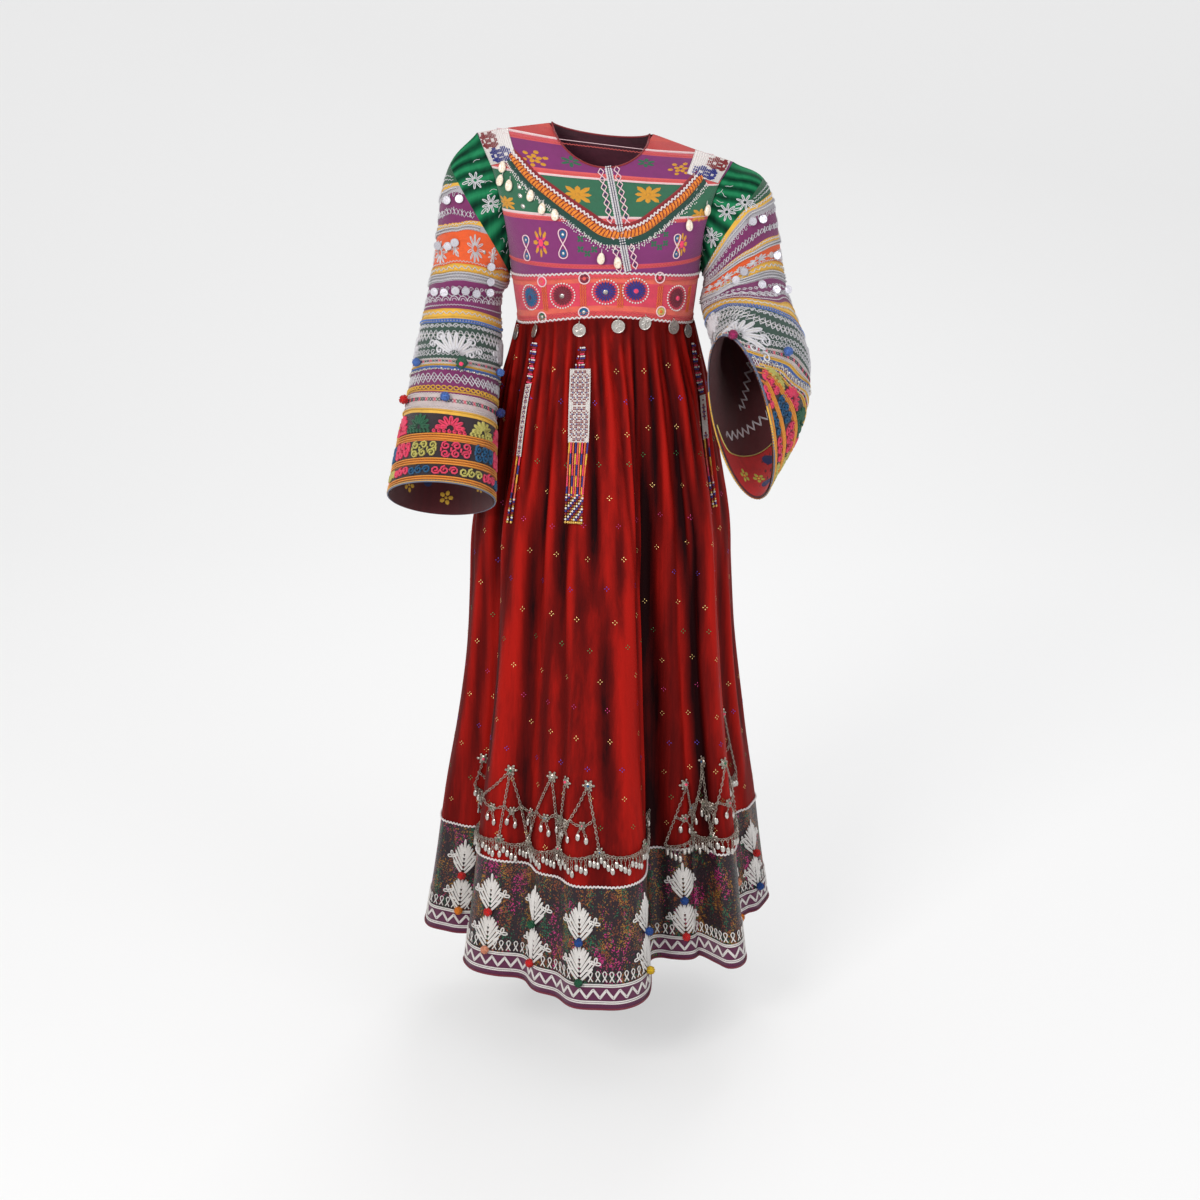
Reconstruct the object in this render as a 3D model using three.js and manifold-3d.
// A long velvet dress in its worn form: yoke, waistband, gathered skirt, brocade border, wide banded sleeves.
// Millimetres, +Z up, the front faces -Y, and the origin is where the wearer's shoulders hold it.
import * as THREE from "three";
import { mergeVertices } from "three/addons/utils/BufferGeometryUtils.js";
import Module from "manifold-3d";

const wasm = await Module();
wasm.setup();

// Driving dimensions
const CLOTH = 1.6; // wall of every sewn panel
const SEAM = 0.4; // gap where one panel ends and the next begins
const CENTRE_X = 8; // middle of the chest
const NECK = 0.383; // half the neck opening as a share of the shoulder breadth
const NECK_SHIFT = -0.034; // the neck opening's middle, the same way
const SHOULDER_Z = -4;
const SHOULDER_DROP = 28;
const NECK_DROP = 48; // front neckline below the shoulders
const NAPE_DROP = 14;
const SHOULDER_TILT = 0.124; // the right-hand shoulder hangs lower
const BAND_TOP_Z = -197;
const WAIST_Z = -268;
const SKIRT_TOP_Z = -290; // level at which the skirt leaves the body
const BORDER_TOP_Z = -1125;
const HEM_Z = -1320;
const PANEL_COLUMNS = 24; // across a bodice panel
const SKIRT_COLUMNS = 96; // round the skirt
const BODICE_ROWS = 9; // down a bodice panel
const SLEEVE_COLUMNS = 2 * BODICE_ROWS; // round a sleeve, one for each row of its armhole's two edges
const GATHERS = 44; // small gathers below the waist seam
const GATHER_DEPTH = 3;
const GATHER_LENGTH = 130;

const { sin, cos, abs, sqrt, min, max, exp, PI } = Math;
const point = (x, y, z) => new THREE.Vector3(x, y, z);
const mix = (a, b, t) => a + (b - a) * t;
const rangeOf = (n) => Array.from({ length: n }, (_, i) => i);

// Reads a table by a smooth curve through its rows, level where a column turns or stays the same.
// `key` is the column that `x` is measured in.
function read(rows, key, column, x) {
  const sorted = rows[0][key] < rows.at(-1)[key] ? rows : [...rows].reverse();
  const last = sorted.length - 1;
  if (x <= sorted[0][key]) return sorted[0][column];
  if (x >= sorted[last][key]) return sorted[last][column];
  const i = sorted.findLastIndex((row) => row[key] <= x);
  const slope = (j) => {
    const [a, b] = [sorted[max(j - 1, 0)], sorted[min(j + 1, last)]];
    const here = sorted[j][column];
    const turns = j > 0 && j < last && (here - a[column]) * (b[column] - here) <= 0;
    return turns ? 0 : (b[column] - a[column]) / (b[key] - a[key]);
  };
  const span = sorted[i + 1][key] - sorted[i][key];
  const t = (x - sorted[i][key]) / span;
  const [t2, t3] = [t * t, t * t * t];
  return (
    (2 * t3 - 3 * t2 + 1) * sorted[i][column] +
    (t3 - 2 * t2 + t) * slope(i) * span +
    (3 * t2 - 2 * t3) * sorted[i + 1][column] +
    (t3 - t2) * slope(i + 1) * span
  );
}

// Half breadth and depths of the upper body by height; an edge depth is where the armhole is.
const BODY = [
  { z: -4, half: 190, front: 0.2, frontEdge: 0.2, back: 0.2, backEdge: 0.2 },
  { z: -20, half: 181, front: 36, frontEdge: 22, back: 30, backEdge: 20 },
  { z: -45, half: 168, front: 64, frontEdge: 38, back: 54, backEdge: 36 },
  { z: -90, half: 156, front: 92, frontEdge: 48, back: 78, backEdge: 46 },
  { z: -140, half: 147, front: 112, frontEdge: 42, back: 92, backEdge: 42 },
  { z: -180, half: 144, front: 121, frontEdge: 22, back: 97, backEdge: 22 },
  { z: -205, half: 143, front: 121, frontEdge: 0.2, back: 97, backEdge: 0.2 },
  { z: -240, half: 139, front: 114, frontEdge: 0.2, back: 93, backEdge: 0.2 },
  { z: -295, half: 132, front: 104, frontEdge: 0.2, back: 86, backEdge: 0.2 },
];

const acrossOf = (degrees) => sin((degrees * PI) / 180);
const fromNeck = (s) => (s - NECK_SHIFT) / NECK;
const shoulderZ = (s) => SHOULDER_Z - (SHOULDER_DROP * max(0, abs(s) - NECK)) / (1 - NECK);
const neckZ = (s, drop) => SHOULDER_Z - drop * sqrt(max(0, 1 - fromNeck(s) ** 2));
const topZ = (s, drop) => (abs(fromNeck(s)) < 1 ? neckZ(s, drop) : shoulderZ(s));
const bandTopZ = (s) => BAND_TOP_Z - 18 * s * s;
const waistZ = (s) => WAIST_Z - 26 * s * s;
const tiltAt = (z) => SHOULDER_TILT * min(1, max(0, 1 + (z + 20) / 130));

// A point of the upper body: degrees from -90 to 90 across it, at a height.
function torso(degrees, z, side) {
  const s = acrossOf(degrees);
  const below = (z - shoulderZ(s)) / (-205 - shoulderZ(s));
  const level = z < -205 ? z : SHOULDER_Z - 201 * below;
  const half = read(BODY, "z", "half", level);
  const depth = read(BODY, "z", side, level);
  const edge = read(BODY, "z", side + "Edge", level);
  const y = edge + (depth - edge) * sqrt(max(0, 1 - abs(s) ** 2.4));
  const x = CENTRE_X + s * half;
  return point(x, side === "front" ? -y : y, z - tiltAt(z) * x);
}

// The hem's outline from the wearer's right side, across the front and round the back.
const HEM_FRONT = [
  [-292, 45], [-286, 2], [-246, -14], [-203, -22], [-204, -62], [-222, -108], [-206, -146], [-165, -164],
  [-124, -188], [-80, -234], [-36, -269], [8, -285], [42, -274], [68, -240], [80, -170], [90, -122],
  [118, -118], [146, -112], [163, -100], [183, -130], [208, -148], [227, -128], [226, -60], [220, 0],
  [243, 50], [266, 66], [288, 112],
];
const HEM_BACK = [
  [276, 150], [236, 150], [216, 176], [206, 214], [160, 232], [126, 206], [92, 206], [58, 248], [6, 258],
  [-26, 226], [-60, 212], [-96, 244], [-142, 246], [-168, 206], [-194, 180], [-236, 180], [-262, 150],
  [-256, 112], [-276, 80],
];
const STEPS = 12; // points between two of the outline's
const hemLine = (() => {
  const given = [...HEM_FRONT, ...HEM_BACK].map(([x, y]) => point(x, y, 0));
  const curve = new THREE.CatmullRomCurve3(given, true, "catmullrom", 0.5);
  const points = curve.getPoints(given.length * STEPS);
  const lengths = [0];
  for (let i = 1; i < points.length; i++) lengths.push(lengths[i - 1] + points[i].distanceTo(points[i - 1]));
  return { points, lengths, front: lengths[(HEM_FRONT.length - 1) * STEPS] };
})();

// A point of the hem: u from 0 at the right side through 0.5 at the left side and back to 1.
function hemPoint(turn) {
  const u = ((turn % 1) + 1) % 1;
  const { points, lengths, front } = hemLine;
  const far = u < 0.5 ? u * 2 * front : front + (u - 0.5) * 2 * (lengths.at(-1) - front);
  const i = min(lengths.findLastIndex((length) => length <= far), points.length - 2);
  const t = (far - lengths[i]) / (lengths[i + 1] - lengths[i]);
  return points[i].clone().lerp(points[i + 1], t);
}

// How far the skirt has spread from the waist's outline towards the hem's.
const SPREAD = [
  { z: -290, side: 0, depth: 0 },
  { z: -340, side: 0.06, depth: 0.07 },
  { z: -400, side: 0.17, depth: 0.16 },
  { z: -500, side: 0.3, depth: 0.27 },
  { z: -611, side: 0.43, depth: 0.36 },
  { z: -725, side: 0.48, depth: 0.45 },
  { z: -842, side: 0.545, depth: 0.55 },
  { z: -961, side: 0.65, depth: 0.66 },
  { z: -1090, side: 0.785, depth: 0.79 },
  { z: -1198, side: 0.88, depth: 0.89 },
  { z: -1320, side: 1, depth: 1 },
];

// Long folds: where each lies round the skirt, its half width, and its depth at waist, middle and hem.
const FOLDS = [
  { u: 0.045, width: 0.014, waist: 3, middle: 8, hem: 8 },
  { u: 0.082, width: 0.016, waist: -3, middle: -14, hem: -6 },
  { u: 0.13, width: 0.016, waist: 4, middle: 11, hem: 9 },
  { u: 0.152, width: 0.012, waist: -2, middle: -7, hem: -7 },
  { u: 0.17, width: 0.013, waist: 3, middle: 9, hem: 9 },
  { u: 0.186, width: 0.012, waist: -2, middle: -7, hem: -6 },
  { u: 0.203, width: 0.014, waist: 3, middle: 9, hem: 9 },
  { u: 0.224, width: 0.013, waist: -3, middle: -9, hem: -5 },
  { u: 0.255, width: 0.03, waist: 4, middle: 13, hem: 6 },
  { u: 0.312, width: 0.017, waist: -3, middle: -14, hem: -9 },
  { u: 0.336, width: 0.014, waist: 3, middle: 10, hem: 6 },
  { u: 0.362, width: 0.015, waist: -4, middle: -16, hem: -6 },
  { u: 0.398, width: 0.022, waist: 4, middle: 13, hem: 8 },
  { u: 0.436, width: 0.014, waist: -2, middle: -7, hem: -7 },
  { u: 0.468, width: 0.015, waist: 2, middle: 7, hem: 6 },
  { u: 0.56, width: 0.02, waist: 3, middle: 9, hem: 8 },
  { u: 0.6, width: 0.018, waist: -3, middle: -9, hem: -7 },
  { u: 0.645, width: 0.02, waist: 3, middle: 10, hem: 8 },
  { u: 0.69, width: 0.02, waist: -3, middle: -9, hem: -6 },
  { u: 0.735, width: 0.022, waist: 4, middle: 10, hem: 7 },
  { u: 0.785, width: 0.02, waist: -3, middle: -9, hem: -6 },
  { u: 0.83, width: 0.02, waist: 3, middle: 9, hem: 8 },
  { u: 0.875, width: 0.018, waist: -3, middle: -8, hem: -6 },
  { u: 0.925, width: 0.02, waist: 3, middle: 8, hem: 8 },
];

const skirtDegrees = (u) => (u < 0.5 ? -90 + 360 * u : 270 - 360 * u);
const skirtSide = (u) => (u < 0.5 ? "front" : "back");

function skirtBase(turn, z) {
  const u = ((turn % 1) + 1) % 1;
  const body = torso(skirtDegrees(u), max(z, SKIRT_TOP_Z), skirtSide(u));
  const hem = hemPoint(u);
  const side = read(SPREAD, "z", "side", z);
  const depth = read(SPREAD, "z", "depth", z);
  return point(mix(body.x, hem.x, side), mix(body.y, hem.y, depth), z);
}

function foldDepth(turn, z) {
  const u = ((turn % 1) + 1) % 1;
  const down = min(1, max(0, (WAIST_Z - z) / 70));
  const half = (WAIST_Z - z) / (WAIST_Z - HEM_Z);
  const folds = FOLDS.reduce((sum, fold) => {
    const { waist, middle, hem } = fold;
    const size = half < 0.5 ? mix(waist, middle, 2 * half) : mix(middle, hem, 2 * half - 1);
    return sum + size * exp(-(((u - fold.u) / fold.width) ** 2));
  }, 0);
  const fade = exp(-(((z - WAIST_Z) / GATHER_LENGTH) ** 2));
  return down * (folds + GATHER_DEPTH * fade * (1 + cos(2 * PI * GATHERS * u)));
}

// The skirt's outer surface with its folds.
function skirt(turn, z) {
  const here = skirtBase(turn, z);
  const along = skirtBase(turn + 0.004, z).sub(skirtBase(turn - 0.004, z)).normalize();
  const out = point(along.y, -along.x, 0);
  return here.addScaledVector(out, foldDepth(turn, z));
}

const modulo = (j, n) => ((j % n) + n) % n;

// Outward directions at a grid's points; `turned` is for a grid that runs clockwise seen from above.
function normalsOf(grid, { closed = false, turned = false } = {}) {
  const [rows, columns] = [grid.length, grid[0].length];
  const held = (n, count) => min(max(n, 0), count - 1);
  const at = (i, j) => grid[held(i, rows)][closed ? modulo(j, columns) : held(j, columns)];
  return grid.map((row, i) =>
    row.map((_, j) => {
      const down = at(i + 1, j).clone().sub(at(i - 1, j));
      const across = at(i, j + 1).clone().sub(at(i, j - 1));
      return down.cross(across).normalize().multiplyScalar(turned ? -1 : 1);
    }),
  );
}

// Every triangle of a grid as corners [row, column]; `rising` picks the cells whose diagonal runs upwards.
function cellsOf(rows, columns, { closed = false, rising = () => false } = {}) {
  const list = [];
  for (let i = 0; i < rows - 1; i++)
    for (let j = 0; j < (closed ? columns : columns - 1); j++) {
      const k = modulo(j + 1, columns);
      const [a, b, c, d] = [[i, j], [i, k], [i + 1, k], [i + 1, j]];
      list.push(...(rising(i, j) ? [[a, d, b], [b, d, c]] : [[a, d, c], [a, c, b]]));
    }
  return list;
}

function geometryFrom(vertices, corners) {
  const geometry = new THREE.BufferGeometry();
  const numbers = vertices.flatMap((v) => v.toArray());
  geometry.setAttribute("position", new THREE.Float32BufferAttribute(numbers, 3));
  geometry.setIndex(corners);
  return geometry;
}

// Cloth on a grid's triangles: outer points moved out by `outer`, inner ones by `inner`, edges closed.
function cloth(grid, normals, triangles, { outer = 0, inner = -CLOTH, turned = false, lean } = {}) {
  const columns = grid[0].length;
  const name = ([i, j]) => i * columns + j;
  const used = [...new Set(triangles.flat().map(name))];
  const slot = new Map(used.map((key, n) => [key, n]));
  const vertices = [];
  for (const [shift, isInner] of [[outer, false], [inner, true]])
    for (const key of used) {
      const [i, j] = [Math.floor(key / columns), key % columns];
      const way = (isInner && lean?.(i, j)) || normals[i][j];
      vertices.push(grid[i][j].clone().addScaledVector(way, shift));
    }
  const faces = [];
  const edges = new Map();
  for (const triangle of triangles) {
    const [a, b, c] = triangle.map((corner) => slot.get(name(corner)));
    faces.push([a, b, c], [c + used.length, b + used.length, a + used.length]);
    for (const [from, to] of [[a, b], [b, c], [c, a]])
      if (!edges.delete(`${to} ${from}`)) edges.set(`${from} ${to}`, [from, to]);
  }
  for (const [from, to] of edges.values())
    faces.push([to, from, from + used.length], [to, from + used.length, to + used.length]);
  return geometryFrom(vertices, faces.flatMap(([a, b, c]) => (turned ? [a, c, b] : [a, b, c])));
}

// A whole panel or ring from its grid of outer points.
function panel(grid, options = {}) {
  const normals = normalsOf(grid, options);
  return cloth(grid, normals, cellsOf(grid.length, grid[0].length, options), options);
}

function solidOf(geometry) {
  const bare = new THREE.BufferGeometry().setAttribute("position", geometry.getAttribute("position"));
  bare.setIndex(geometry.index);
  const merged = mergeVertices(bare, 1e-3);
  const vertProperties = merged.attributes.position.array;
  const triVerts = new Uint32Array(merged.index.array);
  return new wasm.Manifold(new wasm.Mesh({ numProp: 3, vertProperties, triVerts }));
}

function geometryOf(solid) {
  const { vertProperties, triVerts } = solid.getMesh();
  const geometry = new THREE.BufferGeometry();
  geometry.setAttribute("position", new THREE.BufferAttribute(new Float32Array(vertProperties), 3));
  geometry.setIndex(new THREE.BufferAttribute(new Uint32Array(triVerts), 1));
  return geometry;
}

const join = (geometries) => geometryOf(geometries.map(solidOf).reduce((all, next) => all.add(next)));

// A small ball, or an egg where its radii differ, turned by `frame`; it rests `gap` above the cloth.
function ball(radii, at, out, gap, frame = new THREE.Matrix4()) {
  const geometry = new THREE.IcosahedronGeometry(1).scale(...radii).applyMatrix4(frame);
  geometry.deleteAttribute("normal");
  geometry.deleteAttribute("uv");
  const corners = geometry.getAttribute("position");
  const heights = rangeOf(corners.count).map((n) => point(0, 0, 0).fromBufferAttribute(corners, n).dot(out));
  const lowest = min(...heights);
  geometry.translate(...at.clone().addScaledVector(out, gap - lowest).toArray());
  return mergeVertices(geometry, 1e-3);
}

// A strand, strap or link with four sides, broad across `facing`.
// `half` and `thick` may be lists, one value for each point.
function strand(points, half, thick = half, facing = point(0, -1, 0)) {
  const each = (value, i) => (Array.isArray(value) ? value[i] : value);
  const vertices = points.flatMap((p, i) => {
    const along = points[min(i + 1, points.length - 1)].clone().sub(points[max(i - 1, 0)]).normalize();
    const out = facing.clone().addScaledVector(along, -along.dot(facing)).normalize();
    const across = along.clone().cross(out);
    const [a, b] = [across.multiplyScalar(each(half, i)), out.multiplyScalar(each(thick, i))];
    const corner = ([s, t]) => p.clone().addScaledVector(a, s).addScaledVector(b, t);
    return [[1, 1], [-1, 1], [-1, -1], [1, -1]].map(corner);
  });
  const faces = [];
  for (let i = 0; i < points.length - 1; i++)
    for (let k = 0; k < 4; k++) {
      const [a, b] = [4 * i + k, 4 * i + ((k + 1) % 4)];
      faces.push(a, b + 4, b, a, a + 4, b + 4);
    }
  const end = 4 * (points.length - 1);
  faces.push(0, 2, 3, 0, 1, 2, end, end + 2, end + 1, end, end + 3, end + 2);
  return geometryFrom(vertices, faces);
}

// Bodice

// A bodice panel's columns, shifted so that two of them end the neck opening.
function columnDegrees(j) {
  const even = -90 + (180 * j) / PANEL_COLUMNS;
  return even - 2.5 * cos((even * PI) / 180) ** 2;
}

function bodiceGrid(side, fromZ, toZ, rows) {
  return rangeOf(rows + 1).map((i) =>
    rangeOf(PANEL_COLUMNS + 1).map((j) => {
      const degrees = columnDegrees(j);
      const s = acrossOf(degrees);
      return torso(degrees, mix(fromZ(s), toZ(s), i / rows), side);
    }),
  );
}

const frontTop = (s) => topZ(s, NECK_DROP);
const backTop = (s) => topZ(s, NAPE_DROP);
const bodiceEnd = (s) => bandTopZ(s) + SEAM;
const bodice = {
  front: bodiceGrid("front", frontTop, bodiceEnd, BODICE_ROWS),
  back: bodiceGrid("back", backTop, bodiceEnd, BODICE_ROWS),
};
const isNeck = (j) => abs(fromNeck(acrossOf(columnDegrees(j)))) < 0.97;
// The edges that meet the other panel turn in straight: down at the shoulders, sideways at the sides.
function bodiceLean(i, j) {
  const sideways = j === 0 ? -1 : j === PANEL_COLUMNS ? 1 : 0;
  const upwards = i === 0 && !isNeck(j) ? 1 : 0;
  return sideways || upwards ? point(sideways, 0, upwards).normalize() : undefined;
}
const bodicePanel = (side) => panel(bodice[side], { turned: side === "back", lean: bodiceLean });

// Waistband, a ring through the front and the back

const WAISTBAND_ROWS = 2;
function waistbandGrid() {
  return rangeOf(WAISTBAND_ROWS + 1).map((i) =>
    rangeOf(2 * PANEL_COLUMNS).map((j) => {
      const u = j / (2 * PANEL_COLUMNS);
      const s = acrossOf(skirtDegrees(u));
      return torso(skirtDegrees(u), mix(bandTopZ(s), waistZ(s) + SEAM, i / WAISTBAND_ROWS), skirtSide(u));
    }),
  );
}

// Skirt and border

const SKIRT_LEVELS = [-300, -350, -430, -560, -740, -920, -1050];
const BORDER_LEVELS = [-1148, -1212, -1276];
const skirtStart = (u) => waistZ(acrossOf(skirtDegrees(u)));
function skirtGrid(levels) {
  return levels.map((level) =>
    rangeOf(SKIRT_COLUMNS).map((j) => {
      const u = j / SKIRT_COLUMNS;
      return skirt(u, typeof level === "function" ? level(u) : level);
    }),
  );
}
const skirtRings = skirtGrid([skirtStart, ...SKIRT_LEVELS, BORDER_TOP_Z + SEAM / 2]);
const borderRings = skirtGrid([BORDER_TOP_Z - SEAM / 2, ...BORDER_LEVELS, HEM_Z]);

// Couched cord on the border: a band near the hem, and a plant two columns wide at each of these columns.
const PLANTS_FRONT = [4, 12, 16, 20, 25, 32, 40, 46];
const PLANTS_BACK = [52, 58, 64, 70, 76, 82, 88, 93];
const CORD = { outer: 3.2, inner: 0.9 };
const POMPOM_RADIUS = 8;
const plants = [...PLANTS_FRONT, ...PLANTS_BACK];
const borderOptions = { closed: true, rising: (i, j) => plants.some((c) => j === c - 1) };

function soutache(columns, from, to) {
  const normals = normalsOf(borderRings, borderOptions);
  const within = (j) => j >= from && j < to;
  const all = cellsOf(borderRings.length, SKIRT_COLUMNS, borderOptions);
  const wanted = all.filter((triangle) => {
    const top = min(...triangle.map(([i]) => i));
    const [low, high] = [min(...triangle.map(([, j]) => j)), max(...triangle.map(([, j]) => j))];
    if (!within(low) || high > to) return false;
    if (top === 3) return true;
    const inPlant = columns.some((c) => low >= c - 1 && high <= c + 1);
    if (top === 2) return inPlant;
    const tips = triangle.filter(([i]) => i === 1);
    return top === 1 && inPlant && tips.length === 1 && columns.includes(tips[0][1]);
  });
  const lifted = borderRings.map((row, i) =>
    row.map((p, j) => (i === 4 ? p.clone().lerp(borderRings[3][j], 0.1) : p)),
  );
  const base = cloth(lifted, normals, wanted, CORD);
  const pompoms = columns.flatMap((c) =>
    [2, 3].map((i) => ball(Array(3).fill(POMPOM_RADIUS), borderRings[i][c], normals[i][c], CORD.outer - 1)),
  );
  return join([base, ...pompoms]);
}

// Sleeves: sections from the armhole to the cuff, each an oval with a centre and two half axes.
// `out` points away from the body, `fore` to the front of the arm.
const SLEEVE_RIGHT = [
  { centre: [-184, -4, -152], out: [-44, 0, 84], fore: [-4, -60, 0] },
  { centre: [-200, -4, -232], out: [-50, 0, 30], fore: [-4, -68, 8] },
  { centre: [-213, -28, -335], out: [-62, 0, 12], fore: [-6, -76, 24] },
  { centre: [-228, -74, -440], out: [-70, 0, 10], fore: [14, -88, 42] },
  { centre: [-240, -112, -544], out: [-80, 0, 8], fore: [14, -94, 52] },
];
const SLEEVE_LEFT = [
  { centre: [206, 0, -163], out: [47, 0, 70], fore: [-4, -62, 2] },
  { centre: [218, -6, -256], out: [64, 6, 14], fore: [-4, -62, 38] },
  { centre: [246, -88, -352], out: [68, 8, -12], fore: [-12, -42, 104] },
  { centre: [206, -180, -402], out: [41, -32, -4], fore: [-22, 4, 121] },
];
// Where each sleeve's pieces meet, as shares of its length: the cap is longer on top than under the arm.
const SLEEVE_RIGHT_CUTS = { top: 0.17, under: 0.09, cuff: 0.76 };
const SLEEVE_LEFT_CUTS = { top: 0.2, under: 0.12, cuff: 0.78 };

// The armhole, from the shoulder down the front panel's edge and up the back panel's.
function armhole(sign) {
  const column = sign < 0 ? 0 : PANEL_COLUMNS;
  return rangeOf(SLEEVE_COLUMNS).map((j) => {
    const edge = j <= BODICE_ROWS ? bodice.front[j] : bodice.back[SLEEVE_COLUMNS - j];
    return edge[column].clone().add(point(sign * SEAM, 0, 0)).setY(j % BODICE_ROWS ? edge[column].y : 0);
  });
}

// The sleeve's outer surface as one smooth curve along it for each place round it.
function sleeveCurves(sections, sign) {
  const start = armhole(sign);
  return rangeOf(SLEEVE_COLUMNS).map((j) => {
    const turn = (2 * PI * j) / SLEEVE_COLUMNS;
    const ovals = sections.map(({ centre, out, fore }) =>
      point(...centre).addScaledVector(point(...out), cos(turn)).addScaledVector(point(...fore), sin(turn)),
    );
    return new THREE.CatmullRomCurve3([start[j], ...ovals], false, "catmullrom", 0.5);
  });
}

// Rows of a sleeve's three pieces; the row where two pieces meet belongs to both.
const SLEEVE_ROWS = { cap: 3, bands: 6, cuff: 3 };

function sleeveGrid(curves, cuts) {
  const capEnd = (v) => mix(cuts.top, cuts.under, (1 - cos(2 * PI * v)) / 2);
  const stops = [() => 0, capEnd, () => cuts.cuff, () => 1];
  const shares = Object.values(SLEEVE_ROWS).flatMap((rows, piece) =>
    rangeOf(rows).map((i) => (v) => mix(stops[piece](v), stops[piece + 1](v), i / rows)),
  );
  const row = (share) => curves.map((curve, j) => curve.getPoint(share(j / curves.length)));
  return [...shares, stops[3]].map(row);
}

function sleeve(sections, cuts, sign) {
  const options = { closed: true, turned: sign > 0 };
  const grid = sleeveGrid(sleeveCurves(sections, sign), cuts);
  const normals = normalsOf(grid, options);
  // The first ring lies flat against the armhole.
  const middle = grid[0].reduce((sum, p) => sum.add(p), point(0, 0, 0)).divideScalar(SLEEVE_COLUMNS);
  normals[0] = grid[0].map((p) => p.clone().sub(middle).setX(0).normalize());
  return { grid, normals, options };
}

// Rows from..to of a sleeve; a row shared with another piece is pulled in by half a seam.
function sleevePiece({ grid, normals, options }, from, to) {
  const pulled = (i, inside) =>
    grid[i].map((p, j) => p.clone().lerp(grid[inside][j], SEAM / 2 / p.distanceTo(grid[inside][j])));
  const rows = grid.slice(from, to + 1);
  if (from > 0) rows[0] = pulled(from, from + 1);
  if (to < grid.length - 1) rows[rows.length - 1] = pulled(to, to - 1);
  return cloth(rows, normals.slice(from, to + 1), cellsOf(rows.length, SLEEVE_COLUMNS, options), options);
}

const sleeves = {
  right: sleeve(SLEEVE_RIGHT, SLEEVE_RIGHT_CUTS, -1),
  left: sleeve(SLEEVE_LEFT, SLEEVE_LEFT_CUTS, 1),
};

// What is sewn on the front: places are degrees across the body and heights.

// A frame on the front: the point `lift` out from the cloth, with the directions across, up and out.
function onFront(degrees, z, lift = 0) {
  const at = torso(degrees, z, "front");
  const across = torso(degrees + 1, z, "front").sub(torso(degrees - 1, z, "front")).normalize();
  const up = torso(degrees, z + 2, "front").sub(torso(degrees, z - 2, "front")).normalize();
  const out = across.clone().cross(up).normalize();
  return { at: at.addScaledVector(out, lift), across, up: out.clone().cross(across), out };
}

const BRAID = [
  { degrees: -54.4, z: -52 }, { degrees: -44.3, z: -75 }, { degrees: -29, z: -99 },
  { degrees: -12.7, z: -124.5 }, { degrees: -1.4, z: -142 }, { degrees: 10.6, z: -145 },
  { degrees: 22.4, z: -137 }, { degrees: 34.3, z: -115 }, { degrees: 47.2, z: -88 },
  { degrees: 54.5, z: -66 }, { degrees: 56.5, z: -57 },
];
const BRAID_COLUMNS = 28;
const BRAID_WIDTH = { inner: 12, outer: 8 }; // towards the neck and away from it
const RAISED = { outer: 3.4, inner: 0.9 };

function chestBraid() {
  const route = new THREE.CatmullRomCurve3(BRAID.map(({ degrees, z }) => point(degrees, z, 0)));
  const frames = rangeOf(BRAID_COLUMNS + 1).map((k) => {
    const { x, y } = route.getPoint(k / BRAID_COLUMNS);
    return onFront(x, y);
  });
  const rows = [BRAID_WIDTH.inner, 0, -BRAID_WIDTH.outer].map((shift) =>
    frames.map(({ at, out }, k) => {
      const along = frames[min(k + 1, BRAID_COLUMNS)].at.clone().sub(frames[max(k - 1, 0)].at);
      return at.clone().addScaledVector(out.clone().cross(along).normalize(), shift);
    }),
  );
  return cloth(rows, normalsOf(rows), cellsOf(3, BRAID_COLUMNS + 1), RAISED);
}

// The silver braid below the neck, in two lengths: the chest braid crosses between them.
const PLACKET_HALF = 5;
const PLACKET = { top: { degrees: 1.3, z: -56 }, low: { degrees: 13.2, z: -192 } };
function placket(from, to) {
  const rows = rangeOf(5).map((i) => {
    const t = mix(from, to, i / 4);
    const { top, low } = PLACKET;
    const { at, across } = onFront(mix(top.degrees, low.degrees, t), mix(top.z, low.z, t));
    return [-1, 1].map((side) => at.clone().addScaledVector(across, side * PLACKET_HALF));
  });
  return cloth(rows, normalsOf(rows), cellsOf(5, 2), { outer: 2.2, inner: 0.8 });
}

// Beadwork squares on the shoulders, from the bodice's own points.
function shoulderPatch(fromColumn, toColumn, rows) {
  const normals = normalsOf(bodice.front);
  const cut = (grid) => grid.slice(0, rows + 1).map((row) => row.slice(fromColumn, toColumn + 1));
  const [grid, ways] = [cut(bodice.front), cut(normals)];
  return cloth(grid, ways, cellsOf(rows + 1, toColumn - fromColumn + 1), { outer: 2.2, inner: 0.6 });
}

const COWRIES = [
  { degrees: -64, z: -67 }, { degrees: -70.5, z: -83 }, { degrees: -61, z: -88 }, { degrees: -44, z: -98 },
  { degrees: -37, z: -113 }, { degrees: -29, z: -120 }, { degrees: -2.6, z: -177 }, { degrees: 7, z: -183 },
  { degrees: 54, z: -133 }, { degrees: 72, z: -110 },
];
const SEWN_GAP = 0.4; // between cloth and what is sewn on it
const COWRIE = { across: 5.5, thick: 4, long: 8.5 };
function cowrie({ degrees, z }) {
  const { at, across, up, out } = onFront(degrees, z);
  const radii = [COWRIE.across, COWRIE.long, COWRIE.thick];
  return ball(radii, at, out, SEWN_GAP, new THREE.Matrix4().makeBasis(across, up, out));
}

// What hangs on the skirt: places are shares round it and heights.

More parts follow.
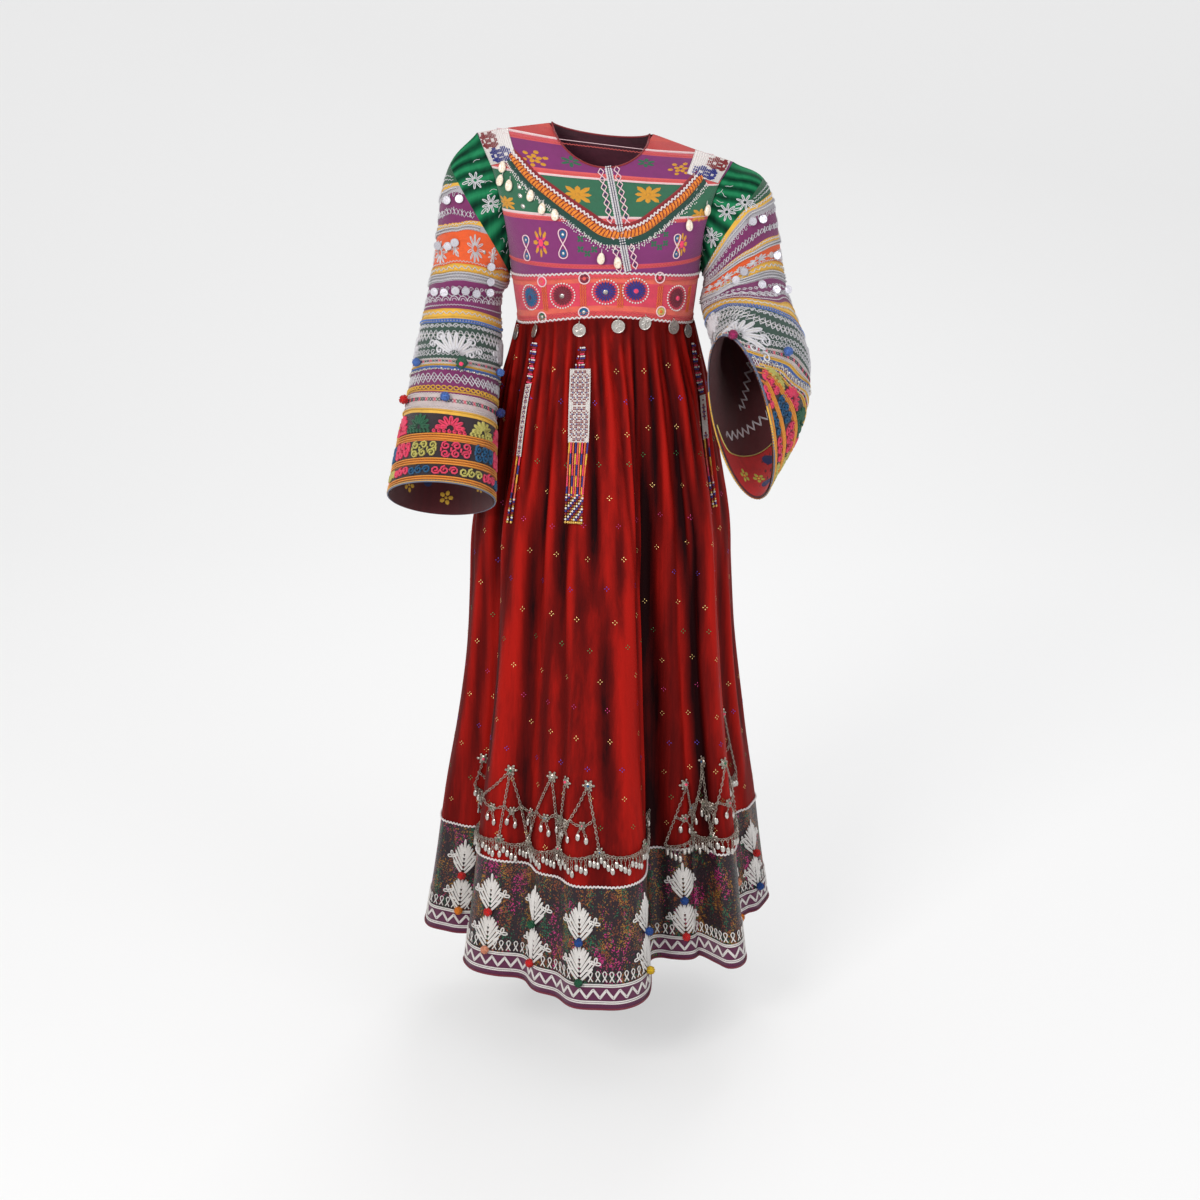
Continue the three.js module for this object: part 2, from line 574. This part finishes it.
// A point of the skirt's or the border's solid, between its grid points.
const skirtRows = [...skirtRings, ...borderRings];
function skirtSolid(u, z) {
  const [column, share] = [Math.floor(u * SKIRT_COLUMNS), (u * SKIRT_COLUMNS) % 1];
  const ring = skirtRows.map((row) =>
    row[modulo(column, SKIRT_COLUMNS)].clone().lerp(row[modulo(column + 1, SKIRT_COLUMNS)], share),
  );
  const i = min(max(ring.findLastIndex((p) => p.z >= z), 0), ring.length - 2);
  return ring[i].clone().lerp(ring[i + 1], (z - ring[i].z) / (ring[i + 1].z - ring[i].z));
}

// A point `lift` out from the skirt, clear of its folds within `reach` on either side.
function onSkirt(u, z, lift, reach = 0.007) {
  const along = skirtBase(u + 0.004, z).sub(skirtBase(u - 0.004, z)).normalize();
  const out = point(along.y, -along.x, 0);
  const here = skirtSolid(u, z);
  const rises = rangeOf(7).map((k) => skirtSolid(u + reach * (k / 3 - 1), z).sub(here).dot(out));
  return here.addScaledVector(out, max(...rises) + lift);
}

// Coins lie against the gathers below the waist seam.
const COINS = [
  { u: 0.042, z: -307 }, { u: 0.111, z: -294 }, { u: 0.204, z: -286 }, { u: 0.272, z: -280 },
  { u: 0.321, z: -277 }, { u: 0.383, z: -288 }, { u: 0.433, z: -300 },
];
const COIN = { radius: 10, thickness: 1.2, sides: 10, lift: { top: 1.3, bottom: 1.6 } };
function coin({ u, z }) {
  const reach = 0.011;
  const top = onSkirt(u, z + COIN.radius, COIN.lift.top, reach);
  const bottom = onSkirt(u, z - COIN.radius, COIN.lift.bottom, reach);
  const up = top.clone().sub(bottom).normalize();
  const across = skirtBase(u + 0.01, z).sub(skirtBase(u - 0.01, z)).normalize();
  const out = across.cross(up).normalize();
  const geometry = new THREE.CylinderGeometry(COIN.radius, COIN.radius, COIN.thickness, COIN.sides);
  geometry.deleteAttribute("normal");
  geometry.deleteAttribute("uv");
  const frame = new THREE.Matrix4().makeBasis(up.clone().cross(out), out, up.clone().negate());
  return mergeVertices(geometry, 1e-3).applyMatrix4(frame.setPosition(top.lerp(bottom, 0.5)));
}

// Beaded hangings: a flat beaded strap on a cord, then cords that end in beads.
const TASSELS = {
  right: {
    top: [0.118, -320], strapTop: [0.121, -372], strapEnd: [0.121, -480], end: [0.117, -585],
    half: 4, cords: 2,
  },
  middle: {
    top: [0.209, -318], strapTop: [0.206, -342], strapEnd: [0.206, -447], end: [0.202, -566],
    half: 15, cords: 5,
  },
  left: {
    top: [0.447, -330], strapTop: [0.455, -405], strapEnd: [0.455, -474], end: [0.455, -586],
    half: 5, cords: 2,
  },
};
const TASSEL_LIFT = 2.2;
const TASSEL_THICK = 1.3;
const TASSEL_STEPS = 4;

function tassel({ top, strapTop, strapEnd, end, half, cords }) {
  const reach = 0.004 + half / 1000;
  const facing = onSkirt(strapTop[0], strapTop[1], 10).sub(onSkirt(strapTop[0], strapTop[1], 0)).normalize();
  const sideways = point(-facing.y, facing.x, 0);
  const route = (from, to) =>
    rangeOf(TASSEL_STEPS + 1).map((i) => {
      const t = i / TASSEL_STEPS;
      return onSkirt(mix(from[0], to[0], t), mix(from[1], to[1], t), TASSEL_LIFT, reach);
    });
  const cord = strand(route(top, [strapTop[0], strapTop[1] - 4]), min(half, 4) * 0.7, TASSEL_THICK, facing);
  const strap = strand(route(strapTop, strapEnd), half, TASSEL_THICK, facing);
  const hanging = rangeOf(cords).map((k) => {
    const shift = cords > 1 ? (k / (cords - 1) - 0.5) * 1.8 * (half - 1.6) : 0;
    const points = route([strapEnd[0], strapEnd[1] + 4], end).map((p, i) =>
      p.addScaledVector(sideways, shift).addScaledVector(facing, 0.4 * i),
    );
    return strand(points, [1.3, 1.3, 1.3, 1.6, 2], TASSEL_THICK, facing);
  });
  return join([cord, strap, ...hanging]);
}

// Linked metal fringe: a lower chain, chains that rise from it to where it is sewn on, and pendants below.
// A riser is where it is sewn on and the number of the lower chain's point that it ends at.
const CHAINS = {
  right: {
    lower: [
      [0.045, -1050], [0.085, -1085], [0.129, -1088], [0.153, -1088],
      [0.187, -1078], [0.223, -1070], [0.262, -1072], [0.312, -1058],
    ],
    risers: [
      [0.051, -1003, 0], [0.066, -993, 1], [0.134, -974, 1], [0.134, -974, 2], [0.134, -974, 3],
      [0.179, -967, 3], [0.179, -967, 4], [0.196, -967, 4], [0.215, -967, 4], [0.215, -967, 5],
    ],
  },
  left: {
    lower: [
      [0.322, -1118], [0.345, -1100], [0.37, -1095], [0.4, -1085], [0.43, -1070], [0.466, -1050],
    ],
    risers: [
      [0.339, -1015, 0], [0.339, -1015, 1], [0.363, -975, 1], [0.363, -975, 2],
      [0.385, -975, 2], [0.385, -975, 3], [0.44, -940, 4], [0.455, -940, 5],
    ],
  },
};
const LINK = 1.5;
const CHAIN_LIFT = 6.6;
const CHAIN_REACH = 0.012;
const SEWN_LIFT = 2.4;
const PENDANT = { length: 34, half: 3.4 };

function chainFringe({ lower, risers }) {
  const between = (a, b, liftA, liftB, parts) =>
    rangeOf(parts + 1).map((i) => {
      const t = i / parts;
      return onSkirt(mix(a[0], b[0], t), mix(a[1], b[1], t), mix(liftA, liftB, sqrt(t)), CHAIN_REACH);
    });
  const links = lower.slice(1).map((to, k) => strand(between(lower[k], to, CHAIN_LIFT, CHAIN_LIFT, 3), LINK));
  const rising = risers.map(([u, z, k]) => strand(between([u, z], lower[k], SEWN_LIFT, CHAIN_LIFT, 3), LINK));
  // Two pendants hang from each length of the lower chain, a third of the way from its ends.
  const hanging = rangeOf(2 * (lower.length - 1)).map((n) => {
    const [from, to] = lower.slice(n >> 1);
    const t = (1 + (n % 2)) / 3;
    const [u, z] = [mix(from[0], to[0], t), mix(from[1], to[1], t)];
    const points = [0, 0.6, 1].map((down) => onSkirt(u, z - down * PENDANT.length, CHAIN_LIFT, CHAIN_REACH));
    return strand(points, [1, PENDANT.half, 1], [1, 1.2, 0.8]);
  });
  return join([...links, ...rising, ...hanging]);
}

// Pompoms and rosettes on the sleeves, each at a point of its sleeve's grid.
const SLEEVE_POMPOMS = [
  { sleeve: "right", row: 9, column: 4, radius: 9, color: 0x4f74c4 },
  { sleeve: "right", row: 9, column: 1, radius: 9, color: 0xc3222e },
  { sleeve: "right", row: 9, column: 8, radius: 9, color: 0x1f2f66 },
  { sleeve: "right", row: 8, column: 2, radius: 8, color: 0x4f74c4 },
  { sleeve: "right", row: 8, column: 8, radius: 8, color: 0x4f74c4 },
  { sleeve: "right", row: 8, column: 5, radius: 11, color: 0x15502f },
  { sleeve: "left", row: 10, column: 2, radius: 9, color: 0x4f74c4 },
  { sleeve: "left", row: 12, column: 4, radius: 9, color: 0xb02a6a },
];
function sleevePompom({ sleeve: name, row, column, radius }) {
  const { grid, normals } = sleeves[name];
  return ball(Array(3).fill(radius), grid[row][column], normals[row][column], SEWN_GAP);
}

// The part

const part = new THREE.Group();
function add(name, geometry, color, roughness = 0.9, metalness = 0) {
  const mesh = new THREE.Mesh(geometry, new THREE.MeshStandardMaterial({ color, roughness, metalness }));
  mesh.name = name;
  part.add(mesh);
}

const VELVET = 0x8c1512;
const YOKE = 0x7a2f63;
const BAND = 0xc8473f;
const BROCADE = 0x3a1626;
const WHITE = 0xe6e2dc;
const GREEN = 0x1c5a3c;
const LACE = 0xa9a4a8;
const ORANGE = 0xd9762a;
const SILVER = 0xb4b2ae;

add("bodice_front", bodicePanel("front"), YOKE);
add("bodice_back", bodicePanel("back"), YOKE);
add("waistband", panel(waistbandGrid(), { closed: true }), BAND);
add("skirt", panel(skirtRings, { closed: true }), VELVET, 0.7);
add("hem_border", panel(borderRings, borderOptions), BROCADE, 0.6);
add("soutache_front", soutache(PLANTS_FRONT, 0, 48), WHITE);
add("soutache_back", soutache(PLANTS_BACK, 49, 95), WHITE);
const SLEEVE_COLORS = { cap: GREEN, bands: LACE, cuff: ORANGE };
for (const [name, made] of Object.entries(sleeves)) {
  let from = 0;
  for (const [piece, rows] of Object.entries(SLEEVE_ROWS)) {
    add(`sleeve_${name}_${piece}`, sleevePiece(made, from, from + rows), SLEEVE_COLORS[piece]);
    from += rows;
  }
}

add("shoulder_patch_right", shoulderPatch(1, 5, 1), WHITE);
add("shoulder_patch_left", shoulderPatch(18, 22, 1), WHITE);
add("chest_braid", chestBraid(), ORANGE);
add("placket", placket(0, 0.56), SILVER);
add("placket_end", placket(0.78, 1), SILVER);
COWRIES.forEach((place, n) => add(`cowrie_${n + 1}`, cowrie(place), 0xe8e0cd, 0.35));
COINS.forEach((place, n) => add(`coin_${n + 1}`, coin(place), SILVER, 0.4, 0.9));
for (const [name, row] of Object.entries(TASSELS)) add(`tassel_${name}`, tassel(row), WHITE, 0.5);
for (const [name, row] of Object.entries(CHAINS))
  add(`chain_fringe_${name}`, chainFringe(row), SILVER, 0.35, 0.9);
SLEEVE_POMPOMS.forEach((row, n) => add(`pompom_${n + 1}`, sleevePompom(row), row.color, 1));

export default part;
